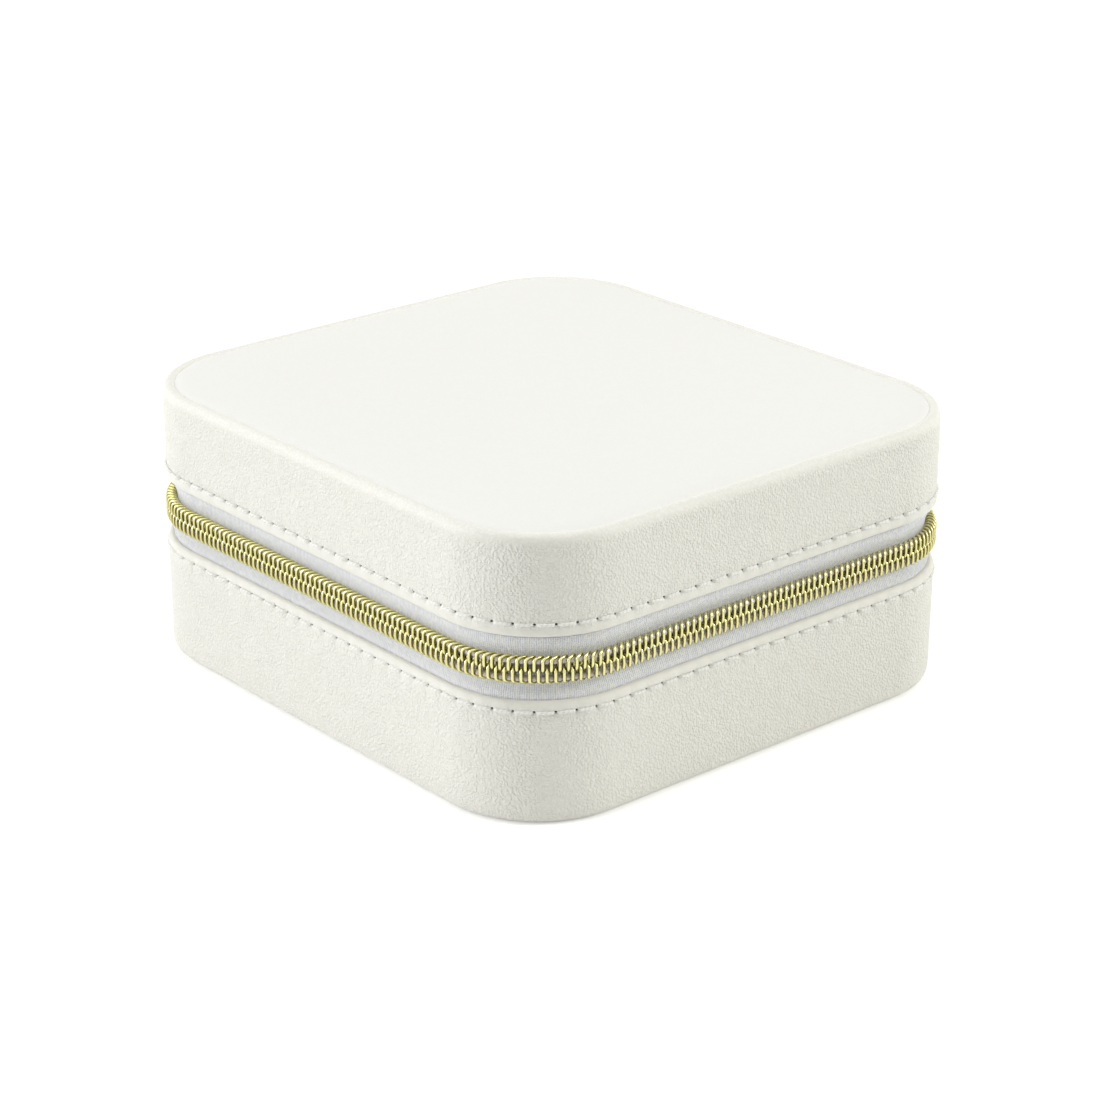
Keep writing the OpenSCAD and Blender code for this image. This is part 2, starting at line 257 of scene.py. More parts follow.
def leather(name, colour, valley, pebble_mm, depth_mm, roughness, sewn=False):
    finish = Finish(name)
    where = finish.place()
    wander = finish.noise(where, 0.8 / pebble_mm, 1.0, output=1)
    shift = finish.vectors("SCALE", {0: wander, 3: 0.7 * pebble_mm})
    warped = finish.vectors("ADD", {0: where, 1: shift})
    cells = {"Vector": warped, "Scale": 1 / pebble_mm, "Smoothness": 0.25, "Randomness": 0.85}
    islands = finish.node("ShaderNodeTexVoronoi", {"feature": "SMOOTH_F1"}, cells)
    pebbles = 1 - finish.clamp(islands, 0.1, 0.75)
    creases = finish.noise(where, 0.5, 3.0)
    pores = finish.noise(where, 5.0)
    stretched = 1 - 0.85 * finish.clamp(finish.part(where, 2), BEAD_TOP - 1.9, BEAD_TOP - 0.8)
    height = (pebbles * (0.8 + 0.35 * creases) + 0.12 * pores) * stretched
    # Painted shade: the valleys between the pebbles are painted darker than their tops.
    share = 0.6 * (1 - pebbles) + 0.12 * finish.clamp(creases, 0.35, 0.75)
    if sewn:
        fold_mm = finish.uv(1)
        grain = 1 - 0.75 * finish.clamp(fold_mm, 0.2, 0.9)
        step = finish.maths("FRACT", finish.uv(0) / STITCH_STEP + 0.5)
        along = (step - 0.5) * (STITCH_STEP / 0.22)
        across = fold_mm / 0.15
        hole = 1 - finish.clamp(along * along + across * across, 0.25, 1.3)
        share = share * grain + 0.6 * (1 - grain)
        height = height * grain - 4.0 * hole
    shade = finish.mix(share, colour, valley)
    if sewn:
        # Painted shade: each needle hole is painted dark, on top of its real dip in the bump.
        shade = finish.mix(hole, shade, tone(134, 128, 116))
    return finish.paint(
        Base_Color=shade,
        Roughness=roughness + 0.1 * (1 - pebbles) + 0.06 * creases,
        Normal=finish.bump(height, depth_mm),
        Specular_IOR_Level=0.4,
    )


valley = tone(238, 236, 229)
side_leather = leather("side_leather", tone(249, 248, 243), valley, 0.42, 0.13, 0.44, sewn=True)
top_leather = leather("top_leather", tone(248, 247, 245), tone(244, 243, 241), 0.42, 0.016, 0.5)
bottom_leather = leather("bottom_leather", valley, tone(226, 223, 214), 0.45, 0.05, 0.5)
print("leathers made")

# %% [markdown]
# ## Thread and cord
#
# Sewing thread is a bundle of twisted yarn, so a slanted wave runs along it: U counts
# along the thread, and V once round it. The cord inside each coil is matt spun yarn.

# %% Thread and cord finishes
yarn = Finish("thread")
twist = yarn.maths("SINE", yarn.uv(0) * 9.0 + yarn.uv(1, 1.0) * 6.2832)
height = 0.5 + 0.4 * twist + 0.3 * yarn.noise(yarn.place(), 9.0)
thread = yarn.paint(
    Base_Color=yarn.mix(yarn.clamp(height, 0.1, 0.9), tone(238, 237, 234), tone(252, 251, 249)),
    Roughness=0.6,
    Normal=yarn.bump(height, 0.03),
    Sheen_Weight=0.2,
)

spun = Finish("coil_cord")
fibres = spun.noise(spun.place(), 5.0, 3.0, 0.6)
coil_cord = spun.paint(
    Base_Color=spun.mix(spun.clamp(fibres, 0.3, 0.7), tone(206, 196, 188), tone(246, 238, 232)),
    Roughness=0.75,
    Normal=spun.bump(fibres, 0.06),
)
print("thread and cord made")

# %% [markdown]
# ## Tape
#
# The zip tape is a narrow weave: its ribs run along the tape, crossed by fine weft, with
# pale flecks where the yarn is uneven. Its UV map is in metres too, with V as the height,
# so painted shade can darken the tape just where it goes under the leather. The tape also
# has a very faint glow of its own, painted light that brightens it.

# %% Tape finish
RIB_MM, WEFT_MM = 0.36, 0.3

weave = Finish("zip_tape")
across = weave.uv(1)
where = weave.place()
drift = weave.noise(where, 0.8)
ribs = weave.maths("SINE", weave.uv(0) * (2 * math.pi / RIB_MM) + 2.4 * drift)
weft = weave.maths("SINE", across * (2 * math.pi / WEFT_MM) + 2.2 * ribs)
fuzz = weave.noise(where, 4.2, 3.0, 0.65)
flecks = weave.clamp(weave.noise(where, 1.7, 1.0), 0.42, 0.64)
height = 0.12 + 0.22 * ribs + 0.2 * weft + 0.6 * fuzz + 0.2 * flecks
cloth = weave.mix(weave.clamp(height, 0.1, 0.75), tone(203, 206, 216), tone(255, 255, 255))
# Painted shade: the tape is darkened next to the edges of the leather bands.
painted_shade_base_edge = 1 - weave.clamp(across, BASE_EDGE - 0.05, BASE_EDGE + 0.2)
painted_shade_lid_edge = weave.clamp(across, LID_EDGE - 0.62, LID_EDGE - 0.36)
tape = weave.paint(
    Base_Color=weave.mix(0.15 * painted_shade_base_edge + 0.8 * painted_shade_lid_edge, cloth, tone(150, 150, 156)),
    Roughness=0.8,
    Normal=weave.bump(height, 0.16),
    Sheen_Weight=0.15,
    # Painted light: a faint glow all over the tape that makes it brighter.
    Emission_Color=(0.92, 0.95, 1.0, 1.0),
    Emission_Strength=0.1,
)
print("tape made")

# %% [markdown]
# ## Velvet
#
# Velvet is a pile that catches light at a glancing angle, which the sheen of the shader
# gives. Slow noise shows where a hand has brushed the pile one way or the other.

# %% Velvet finish
plush = Finish("velvet")
where = plush.place()
pile = plush.noise(where, 3.2, 3.0, 0.7)
brushed = plush.noise(where, 0.09, 1.0)
share = plush.clamp(0.75 * pile + 0.3 * brushed, 0.3, 0.8)
velvet = plush.paint(
    Base_Color=plush.mix(share, tone(192, 182, 172), tone(214, 205, 196)),
    Roughness=0.88,
    Normal=plush.bump(pile, 0.16),
    Sheen_Weight=0.55,
    Sheen_Roughness=0.4,
    Sheen_Tint=(1.0, 0.97, 0.93, 1.0),
)
print("velvet made")

# %% [markdown]
# ## Metal, mirror and the hidden boards
#
# The coil is plastic with a thin gold film, so it shines like metal but a little duller
# in its scratches. Its flanks carry painted shade, a darker olive: V counts once round the
# wire. The slider and its pull are plated, with a faint brushing that runs from the front
# to the back. The mirror is a silvered glass, and the boards inside are grey card.

# %% Metal and mirror finishes
film = Finish("coil_gold")
# Painted shade: the wire's flanks are painted darker olive, mixed with random wear.
painted_flank_shade = film.maths("COSINE", 4 * math.pi * film.uv(1, 1.0))
worn = film.noise(film.place(), 1.6, 3.0)
coil_gold = film.paint(
    Base_Color=film.mix(film.clamp(painted_flank_shade + 0.8 * worn, 0.1, 1.3), tone(222, 216, 160), tone(158, 149, 80)),
    Metallic=1.0,
    Roughness=0.16 + 0.14 * worn,
)

plating = Finish("plated_gold")
where = plating.place()
worn = plating.noise(where, 0.35, 3.0)
drawn_out = plating.vectors("MULTIPLY", {0: where, 1: (1.0, 0.06, 1.0)})
brushed = plating.noise(drawn_out, 9.0, 3.0, 0.6)
plated_gold = plating.paint(
    Base_Color=plating.mix(plating.clamp(worn, 0.3, 0.8), tone(228, 206, 138), tone(220, 196, 126)),
    Metallic=1.0,
    Roughness=0.14 + 0.08 * worn + 0.12 * brushed,
    Normal=plating.bump(brushed, 0.008),
)

silver = Finish("mirror_glass")
mirror_glass = silver.paint(
    Base_Color=tone(226, 231, 233),
    Metallic=1.0,
    Roughness=0.02 + 0.03 * silver.noise(silver.place(), 0.05),
    Coat_Weight=0.3,
)
print("metal and mirror made")


# %% Card and foam finishes
def card_finish(name, colour, fleck):
    finish = Finish(name)
    fibre = finish.noise(finish.place(), 1.7, 4.0, 0.65)
    return finish.paint(
        Base_Color=finish.mix(finish.clamp(fibre, 0.35, 0.7), fleck, colour),
        Roughness=0.9,
        Normal=finish.bump(fibre, 0.08),
    )


card = card_finish("card", tone(186, 176, 158), tone(160, 150, 132))
foam = card_finish("foam", tone(240, 236, 214), tone(222, 216, 190))
print("card and foam made")

# %% [markdown]
# ## Going round the box
#
# Most pieces are one profile carried round the same rounded square. A station is a
# point of that path: a base point, the direction that faces outwards there, and how far
# along the outside it lies. A piece is then a grid of points, stations one way and the
# profile the other way. A profile is a list of points [outwards, up].

# %% Stations round the path
class Path:
    """A rounded rectangle walked clockwise, seen from above, from its back right corner."""

    def __init__(self, run_x, run_y, radius):
        self.radius, self.quarter = radius, radius * math.pi / 2
        self.sides = [run_y, run_x, run_y, run_x]
        self.corners = np.array([[1, 1], [1, -1], [-1, -1], [-1, 1]]) * [run_x / 2, run_y / 2]
        self.starts = np.concatenate([[0], np.cumsum([self.quarter + side for side in self.sides])])
        self.length = self.starts[-1]

    def stations(self, places):
        """Base points, outward directions and forward directions at distances along the path."""
        places = np.asarray(places, float) % self.length
        k = np.clip(np.searchsorted(self.starts, places, side="right") - 1, 0, 3)
        t = places - self.starts[k]
        turn = np.radians(90 - 90 * k - 90 * np.minimum(t / self.quarter, 1))
        out = np.stack([np.cos(turn), np.sin(turn)], 1)
        forward = np.stack([np.sin(turn), -np.cos(turn)], 1)
        return self.corners[k] + forward * np.maximum(t - self.quarter, 0)[:, None], out, forward

    def carried(self, places, profile, push=None):
        """Points of a profile at each place; push(places, profile) moves them outwards."""
        base, out, _ = self.stations(places)
        profile = np.asarray(profile, float)
        reach = self.radius + profile[None, :, 0] + np.zeros((len(places), 1))
        if push is not None:
            reach = reach + push(np.asarray(places)[:, None], profile[None, :, :])
        flat = base[:, None, :] + out[:, None, :] * reach[..., None]
        high = np.broadcast_to(profile[None, :, 1], reach.shape)
        return np.concatenate([flat, high[..., None]], -1)


outside = Path(RUN_X, RUN_Y, CORNER_R)


def spread(low, high, step):
    """Evenly spaced numbers from low to high, about a step apart."""
    return np.linspace(low, high, max(2, int(round((high - low) / step)) + 1))


def lifted(height, points):
    """Points of a profile whose heights were counted from the given height."""
    return [(out, height + up) for out, up in points]


def bell(*distances):
    """1 where every distance is 0, fading to 0; each distance comes with the width of its bell."""
    return np.exp(-sum((distance / width) ** 2 for distance, width in distances))


print(f"the path is {LOOP:.1f} mm round")


# %% A grid of points made into a piece
def grid_mesh(name, grid, wrap=(False, False), uv=None, caps=False, unit=MM):
    """A mesh over a grid (stations, profile, 3), or over many alike (copies, stations, profile, 3).

    wrap joins the last row or column to the first, and caps close a tube at both ends. The
    faces are turned outwards: seen from the middle, their volume has to be positive.
    """
    grid = grid.reshape(-1, *grid.shape[-3:])
    copies, rows, cols = grid.shape[:3]
    rims = np.arange(rows if wrap[0] else rows - 1), np.arange(cols if wrap[1] else cols - 1)
    r, c = np.meshgrid(*rims, indexing="ij")
    r = np.stack([r, r + 1, r + 1, r], -1).reshape(-1, 4)
    c = np.stack([c, c, c + 1, c + 1], -1).reshape(-1, 4)
    end = np.roll(np.arange(cols), 1)
    ends = [end, rows * cols - 1 - end]
    corners = grid[0][r % rows, c % cols] - grid[0].mean((0, 1))
    first, second, third, fourth = np.moveaxis(corners, 1, 0)
    if np.sum(np.cross(first, second) * third + np.cross(first, third) * fourth) < 0:
        r, c = r[:, [0, 3, 2, 1]], c[:, [0, 3, 2, 1]]
        ends = [np.roll(end[::-1], 1) for end in ends]
    faces = list((r % rows) * cols + c % cols) + (ends if caps else [])
    faces = [(face + n * rows * cols).tolist() for n in range(copies) for face in faces]
    mesh = bpy.data.meshes.new(name)
    mesh.from_pydata((grid.reshape(-1, 3) * unit).tolist(), [], faces)
    if uv is not None:
        flat = np.zeros((copies, len(mesh.loops) // copies, 2))
        flat[:, : r.size] = np.stack([uv[0][r], uv[1][c]], -1).reshape(-1, 2) * MM
        mesh.uv_layers.new(name="UVMap").data.foreach_set("uv", flat.reshape(-1).astype(np.float32))
    return mesh


def dress(name, mesh, material, body, node):
    """A mesh put into the scene, on its body, with its finish, in the place of a CAD node."""
    mesh.validate()
    mesh.polygons.foreach_set("use_smooth", np.ones(len(mesh.polygons), bool))
    mesh.materials.clear()
    mesh.materials.append(material)
    made = bpy.data.objects.new(name, mesh)
    bpy.context.collection.objects.link(made)
    if body:
        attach(made, body)
    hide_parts(node)
    return made


def piece(name, grid, material, body, slot, node, **form):
    return dress(name, grid_mesh(name, grid, **form), material, body, node)


def tube(name, grid, u, v, material, body, slot, node):
    """A piece whose profile is closed and whose two ends are capped."""
    return piece(name, grid, material, body, slot, node, wrap=(False, True), uv=(u, v), caps=True)


def finished(work, name):
    """A mesh from a bmesh, with its faces turned outwards."""
    bmesh.ops.recalc_face_normals(work, faces=work.faces)
    mesh = bpy.data.meshes.new(name)
    work.to_mesh(mesh)
    work.free()
    return mesh


# %% [markdown]
# ## The stitched leather bands
#
# Each half of the case is wrapped in a band of leather. Next to the zip its edge is
# folded in and sewn, so it swells between the thread and the edge, and each stitch pulls
# the leather down into a small hole at both of its ends. The swelling is in the profile,
# and the pull of each stitch is added where the profile passes it.
#
# A profile is drawn with about twenty points. A smooth curve through them is then cut
# into steps that are short where it bends and long where it is straight, and shortest
# at the seam, where the needle holes need many small faces.

# %% A smooth profile
FACE_DEPTH = 0.5
NEAR_SEAM = np.array([-0.75, -0.55, -0.4, -0.28, -0.18, -0.09, 0, 0.09, 0.18, 0.28, 0.4, 0.55, 0.75])


def smooth_line(points, seam, step=0.9, bend=11, clear=0.9):
    """Points a step of length or of bend (in degrees) apart, and their distances from the seam."""
    points = np.asarray(points, float)
    padded = np.vstack([2 * points[0] - points[1], points, 2 * points[-1] - points[-2]])
    fine = []
    for a, b, c, d in zip(padded, padded[1:], padded[2:], padded[3:], strict=False):
        slope, curve, twist = c - a, 2 * a - 5 * b + 4 * c - d, 3 * b - a - 3 * c + d
        for t in np.linspace(0, 1, 12, endpoint=False):
            fine.append(0.5 * (2 * b + slope * t + curve * t * t + twist * t**3))
    fine = np.array(fine + [points[-1]])
    length = np.concatenate([[0], np.cumsum(np.linalg.norm(np.diff(fine, axis=0), axis=1))])
    heading = np.unwrap(np.arctan2(*np.gradient(fine, axis=0).T))
    bends = np.concatenate([[0], np.cumsum(np.abs(np.diff(heading)))])
    count = length / step + bends / math.radians(bend)
    places = np.interp(spread(0, count[-1], 1), count, length)
    face = fine[:, 0] > -FACE_DEPTH
    order = np.argsort(fine[face, 1])
    at = np.interp(seam, fine[face, 1][order], length[face][order])
    places = np.sort(np.concatenate([places[np.abs(places - at) > clear], at + NEAR_SEAM]))
    return np.stack([np.interp(places, length, fine[:, i]) for i in (0, 1)], 1), places - at


# %% Where the stitches lie, and how they pull
STITCH_LENGTH = 2.75
LOW_SEAM = BASE_EDGE - 1.6
HIGH_SEAM = LID_EDGE + 2.05


def pulled(seam):
    """How the thread draws the leather in: a shallow groove, and a small hole between two stitches."""

    def push(place, profile):
        off_seam = profile[..., 1] - seam
        from_hole = (np.abs((place / STITCH_STEP + 0.5) % 1 - 0.5)) * STITCH_STEP
        groove = -0.05 * bell((off_seam, 0.6))
        dimple = -0.1 * bell((off_seam, 0.55), (from_hole, 0.5))
        hole = -0.4 * bell((off_seam, 0.17), (from_hole, 0.2))
        beside = bell((np.abs(off_seam) - 1.2, 0.7))
        pucker = -0.05 * np.cos(2 * math.pi * from_hole / STITCH_STEP) * beside
        slow = 0.05 * np.sin(place / 23.0 + profile[..., 1] / 9.0)
        quick = 0.03 * np.sin(place / 7.3 - profile[..., 1] / 4.0)
        return (groove + dimple + hole + pucker + (slow + quick)) * (profile[..., 0] > -0.9)

    return push


near_hole = np.array([-1.2, -0.8, -0.5, -0.3, -0.18, -0.08, 0.08, 0.18, 0.3, 0.5, 0.8, 1.2])
band_places = (np.arange(STITCHES)[:, None] * STITCH_STEP + near_hole).reshape(-1)
band_ends = np.append(band_places, band_places[0] + LOOP)


def leather_band(name, drawn, seam, along, body, node):
    """A band from its drawn profile; along is 1 where that ends at the fold, and -1 where it starts there."""
    profile, from_seam = smooth_line(drawn, seam)
    grid = outside.carried(band_places, profile, pulled(seam))
    form = {"wrap": (True, False), "uv": (band_ends, along * from_seam)}
    made = piece(name, grid, side_leather, body, "side_leather", node, **form)
    print(name, len(made.data.polygons), "faces")


print(2 * STITCHES, "stitches, one every", round(STITCH_STEP, 2), "mm")

# %% Leather band of the base, from its rounded foot to its fold
foot = [(-2.1, 0.25), (-1.75, 0.04), (-1.2, 0.16), (-0.55, 0.62), (-0.2, 1.35), (-0.1, 2.6)]
face = [(-0.06, 6.0), (-0.02, 10.0), (0.0, 14.0), (-0.01, 16.2)]
seam = lifted(LOW_SEAM, [(-0.04, -0.6), (-0.06, 0), (0.04, 0.45)])
fold = [(0.0, -0.85), (-0.2, -0.38), (-0.56, -0.06), (-0.98, -0.08)]
fold += [(-1.34, -0.5), (-1.46, -1.5), (-1.62, -3.6)]
drawn = foot + face + seam + lifted(BASE_EDGE, fold)
leather_band("base_leather", drawn, LOW_SEAM, 1, "base", "base_leather_band")

# %% Leather band of the lid, from its fold to the bead round its top
fold = [(-1.62, 4.0), (-1.62, 1.6), (-1.55, 0.6), (-1.15, 0.12), (-0.6, 0.02), (-0.12, 0.3), (0.05, 0.85)]
seam = [(0.02, -0.7), (-0.06, 0), (-0.04, 0.6), (-0.01, 1.7), (0.0, 4.0)]
bead = [(-0.02, -5.0), (-0.05, -2.6), (-0.11, -1.3), (-0.38, -0.5), (-0.9, -0.05)]
bead += [(-1.4, -0.03), (-1.9, -0.3), (-2.25, -0.9), (-2.32, -1.5)]
drawn = lifted(LID_EDGE, fold) + lifted(HIGH_SEAM, seam) + lifted(BEAD_TOP, bead)
leather_band("lid_leather", drawn, HIGH_SEAM, -1, "lid", "lid_leather_band")

# %% [markdown]
# ## Stitches
#
# A stitch is a short length of thick thread that comes up out of one hole and goes down
# into the next, so it is a small arched tube whose ends sink into the leather. All the
# stitches of a seam are one mesh: the faces of one tube, copied with other points.

# %% Sew both seams
def tube_grid(path, side, top, radius, around=8):
    """A tube round a path: side and top are the two directions of its section at each point."""
    turn = np.linspace(0, 2 * math.pi, around, endpoint=False)
    ring = np.cos(turn)[None, :, None] * side[:, None, :] + np.sin(turn)[None, :, None] * top[:, None, :]
    return path[:, None, :] + ring * np.reshape(radius, (-1, 1, 1))


def once_round(around):
    """V for a tube, from 0 to 1 once round it, in the unit of the other UV lengths."""
    return np.arange(around + 1) / around / MM


def upright_axes(out):
    """The two directions of a section that stands across the path: outwards and up."""
    return np.concatenate([out, np.zeros((len(out), 1))], 1), np.tile([0.0, 0.0, 1.0], (len(out), 1))


def sewn(name, seam, body, node):
    along = np.sin(np.linspace(-1, 1, 17) * math.pi / 2)
    rise = 0.04 - 0.44 * np.abs(along) ** 6
    thick = 0.25 * (1 - 0.35 * np.abs(along) ** 8)
    around = 9
    grids = []
    for n in range(STITCHES):
        base, out, _ = outside.stations((n + 0.5) * STITCH_STEP + along * STITCH_LENGTH / 2)
        lean = 0.05 * math.sin(2.3 * n)
        path = np.concatenate([base + out * (CORNER_R + rise)[:, None], (seam + lean * along)[:, None]], 1)
        grids.append(tube_grid(path, *upright_axes(out), thick, around))
    length = (along + 1) * STITCH_LENGTH / 2
    tube(name, np.array(grids), length, once_round(around), thread, body, "thread", node)


sewn("base_stitches", LOW_SEAM, "base", "base_stitching")
sewn("lid_stitches", HIGH_SEAM, "lid", "lid_stitching")
print("both seams sewn")

# %% [markdown]
# ## The padded top
#
# The top is a panel of leather over thin foam, tucked down inside the bead. It rises
# quickly at its edge and then almost levels off. The mesh is a ring of strips that run
# in from the edge, and a plain grid in the middle that they meet point for point.

# %% A rounded panel
PANEL_ARC = 16


def rounded_panel(name, inset, height, strips, step, material, slot, node):
    """A sheet that fills the rounded outline at an inset; height(distance from its edge, x, y) shapes it."""
    counts = [int(round(side / step)) for side in outside.sides]
    places = []
    for start, side, count in zip(outside.starts, outside.sides, counts, strict=False):
        places += list(start + np.linspace(0, outside.quarter, PANEL_ARC, endpoint=False))
        places += list(start + outside.quarter + np.linspace(0, side, count, endpoint=False))
    base, out, _ = outside.stations(places)
    depth = CORNER_R - inset
    inside = depth * np.linspace(0, 1, strips) ** 1.8
    flat = base[:, None, :] + out[:, None, :] * (depth - inside)[None, :, None]
    across = np.linspace(RUN_X / 2, -RUN_X / 2, counts[1] + 1)
    along = np.linspace(RUN_Y / 2, -RUN_Y / 2, counts[0] + 1)
    x, y = np.meshgrid(across, along, indexing="ij")
    edge = depth + np.minimum(RUN_X / 2 - np.abs(x), RUN_Y / 2 - np.abs(y))
    ring = np.dstack([flat, height(np.broadcast_to(inside, flat.shape[:2]), flat[..., 0], flat[..., 1])])
    work = bmesh.new()
    work.from_mesh(grid_mesh("ring", ring, wrap=(True, False)))
    work.from_mesh(grid_mesh("middle", np.dstack([x, y, height(edge, x, y)])))
    bmesh.ops.remove_doubles(work, verts=work.verts, dist=1e-6)
    return dress(name, finished(work, name), material, "lid", node)


# %% Top panel
TOP_INSET = 1.95
TUCK, SWELL = 0.48, 0.5


def top_height(inside, x, y):
    """The tuck at the edge, the slow swell behind it, and soft ripples that fade out at the edge."""
    padded = TOP - (TUCK + SWELL) + TUCK * (1 - np.exp(-inside / 0.5)) + SWELL * (1 - np.exp(-inside / 7.0))
    ripple = 0.035 * np.sin(x / 11.0 + 1.0) * np.sin(y / 13.0) + 0.02 * np.sin(x / 5.1 + y / 6.3)
    return padded + ripple * np.minimum(inside / 6.0, 1)


top_form = ("top_leather_panel", TOP_INSET, top_height, 26, 1.3)
top_panel = rounded_panel(*top_form, top_leather, "top_leather", "lid_top_panel")
print("top panel:", len(top_panel.data.polygons), "faces")

# %% [markdown]
# ## The zip
#
# A coil zip has two woven tapes. On the edge of each, a plastic wire is wound into a
# flattened spiral round a cord. A turn runs up the front, bends over into a head, comes
# down behind, and steps on to the next turn. The heads of one row sit between the heads
# of the other, half a step apart. The wire is a single tube for each row, so its
# highlights run as they do on a real coil.
#
# The tapes swell a little on the way to the leather, where they are sewn down behind
# it, and the coil stands a fifth of a millimetre proud of the leather.

# %% Tapes
TAPE_T = 0.6
CHANNEL = 1.2
STRIP_END = 30.5
CHAIN_END = outside.starts[2] + outside.quarter + RUN_Y / 2 + span("zip_stop_lower")[1][1]
tape_places = spread(-(RUN_X / 2 - STRIP_END - 0.15), LOOP - RUN_X / 2 - STRIP_END - 0.15, 1.0)


def tape_section(edge, hidden):
    """A closed line [outwards, up] from the tape's zip edge to the edge under the leather."""
    way = 1 if hidden > edge else -1
    steps = np.array([0.12, 0.8, 1.5, 1.9, 2.4, 3.0, 3.6, 4.1, 4.6])
    swell, crest = (0.8, 3.8) if way < 0 else (0.5, 3.4)
    face = -TAPE_IN - 0.02 + swell * bell((steps - crest, 1.15))
    outer = list(zip(face, edge + way * steps, strict=True)) + [(-TAPE_IN, hidden)]
    rear = -TAPE_IN - TAPE_T
    inner = [(rear, hidden), (rear, edge + way * 2.0), (rear, edge + way * 0.12), (rear + TAPE_T / 2, edge)]
    return np.array(outer + inner if way < 0 else (outer + inner)[::-1])


def woven_tape(name, edge, hidden, body, node):
    """A tape; where it runs on bare, past either end of the chain, its edge closes up to the middle."""
    section = tape_section(edge, hidden)
    heights = section[:, 1]
    grid = outside.carried(tape_places, section)
    bare = np.clip((tape_places - CHAIN_END) / 3, 0, 1) + np.clip(-tape_places / 1.5, 0, 1)
    grid[..., 2] += 0.85 * (ZIP_Z - edge) * bare[:, None] * np.exp(-np.abs(heights - edge) / 1.2)
    tube(name, grid, tape_places, np.append(heights, heights[0]), tape, body, "zip_tape", node)


TAPE_LOW, TAPE_HIGH = tape_low[2], 2 * ZIP_Z - tape_low[2]
woven_tape("lower_tape", ZIP_Z - CHANNEL / 2, TAPE_LOW, "base", "zip_tape_lower")
woven_tape("upper_tape", ZIP_Z + CHANNEL / 2, TAPE_HIGH, "lid", "zip_tape_upper")
print("tapes from", round(TAPE_LOW, 2), "to", round(TAPE_HIGH, 2), "mm up")

# %% [markdown]
# ## End clips
#
# A metal clip is folded over the edge of each tape, where the chain begins. It is a
# hooked outline pushed along its length, with all its edges rounded by a bevel.

# %% Stops at the closed end
CLIP_METAL = 0.6


def zip_clip(name, node, body):
    """A clip between the corners of its CAD node: over is its folded edge, legs its open one."""
    low, high = span(node)
    over, legs = (low[2], high[2]) if low[2] > ZIP_Z else (high[2], low[2])
    over, legs = over - ZIP_SAG, legs - ZIP_SAG
    face, rear = low[0], high[0]
    turn_in = over + (legs - over) * 0.3
    inside = [(face + CLIP_METAL, turn_in), (rear - CLIP_METAL, turn_in), (rear - CLIP_METAL, legs)]
    outline = [(face, legs), (face + CLIP_METAL, legs), *inside, (rear, legs), (rear, over), (face, over)]
    work = bmesh.new()
    section = work.faces.new([work.verts.new((x * MM, low[1] * MM, z * MM)) for x, z in outline])
    pushed = bmesh.ops.extrude_face_region(work, geom=[section])["geom"]
    moved = [part for part in pushed if isinstance(part, bmesh.types.BMVert)]
    bmesh.ops.translate(work, verts=moved, vec=(0, (high[1] - low[1]) * MM, 0))
    bmesh.ops.recalc_face_normals(work, faces=work.faces)
    rounding = {"offset": 0.2 * MM, "segments": 4, "profile": 0.5, "affect": "EDGES", "clamp_overlap": True}
    bmesh.ops.bevel(work, geom=work.edges[:], **rounding)
    return dress(name, finished(work, name), plated_gold, body, node)


zip_clip("lower_stop", "zip_stop_lower", "base")
zip_clip("upper_stop", "zip_stop_upper", "lid")
print("end clips made")

# %% [markdown]
# ## Coils and cords
#
# The wire goes round its turn by an angle. A squared sine and cosine make the turn a
# flattened oval, and the wire steps on to the next turn only on the way back, behind.
# The cord lies inside, and the turns squeeze it: it bulges a little between them.

# %% Coils and the cords inside them
COIL_STEP = 1.18
COIL_TURNS = 216
COIL_WIRE = 0.52
COIL_HEIGHT = 2.6
HEAD_LAP = 0.9
COIL_BACK = -0.2
CHAIN_START = 0.84
TURN_POINTS = 22
COIL_DEPTH = TAPE_IN - COIL_BACK
coil_path = Path(RUN_X, RUN_Y, CORNER_R - (COIL_BACK + COIL_DEPTH / 2))


def curl(wave, power=0.72):
    """A sine or cosine made squarer."""
    return np.sign(wave) * np.abs(wave) ** power


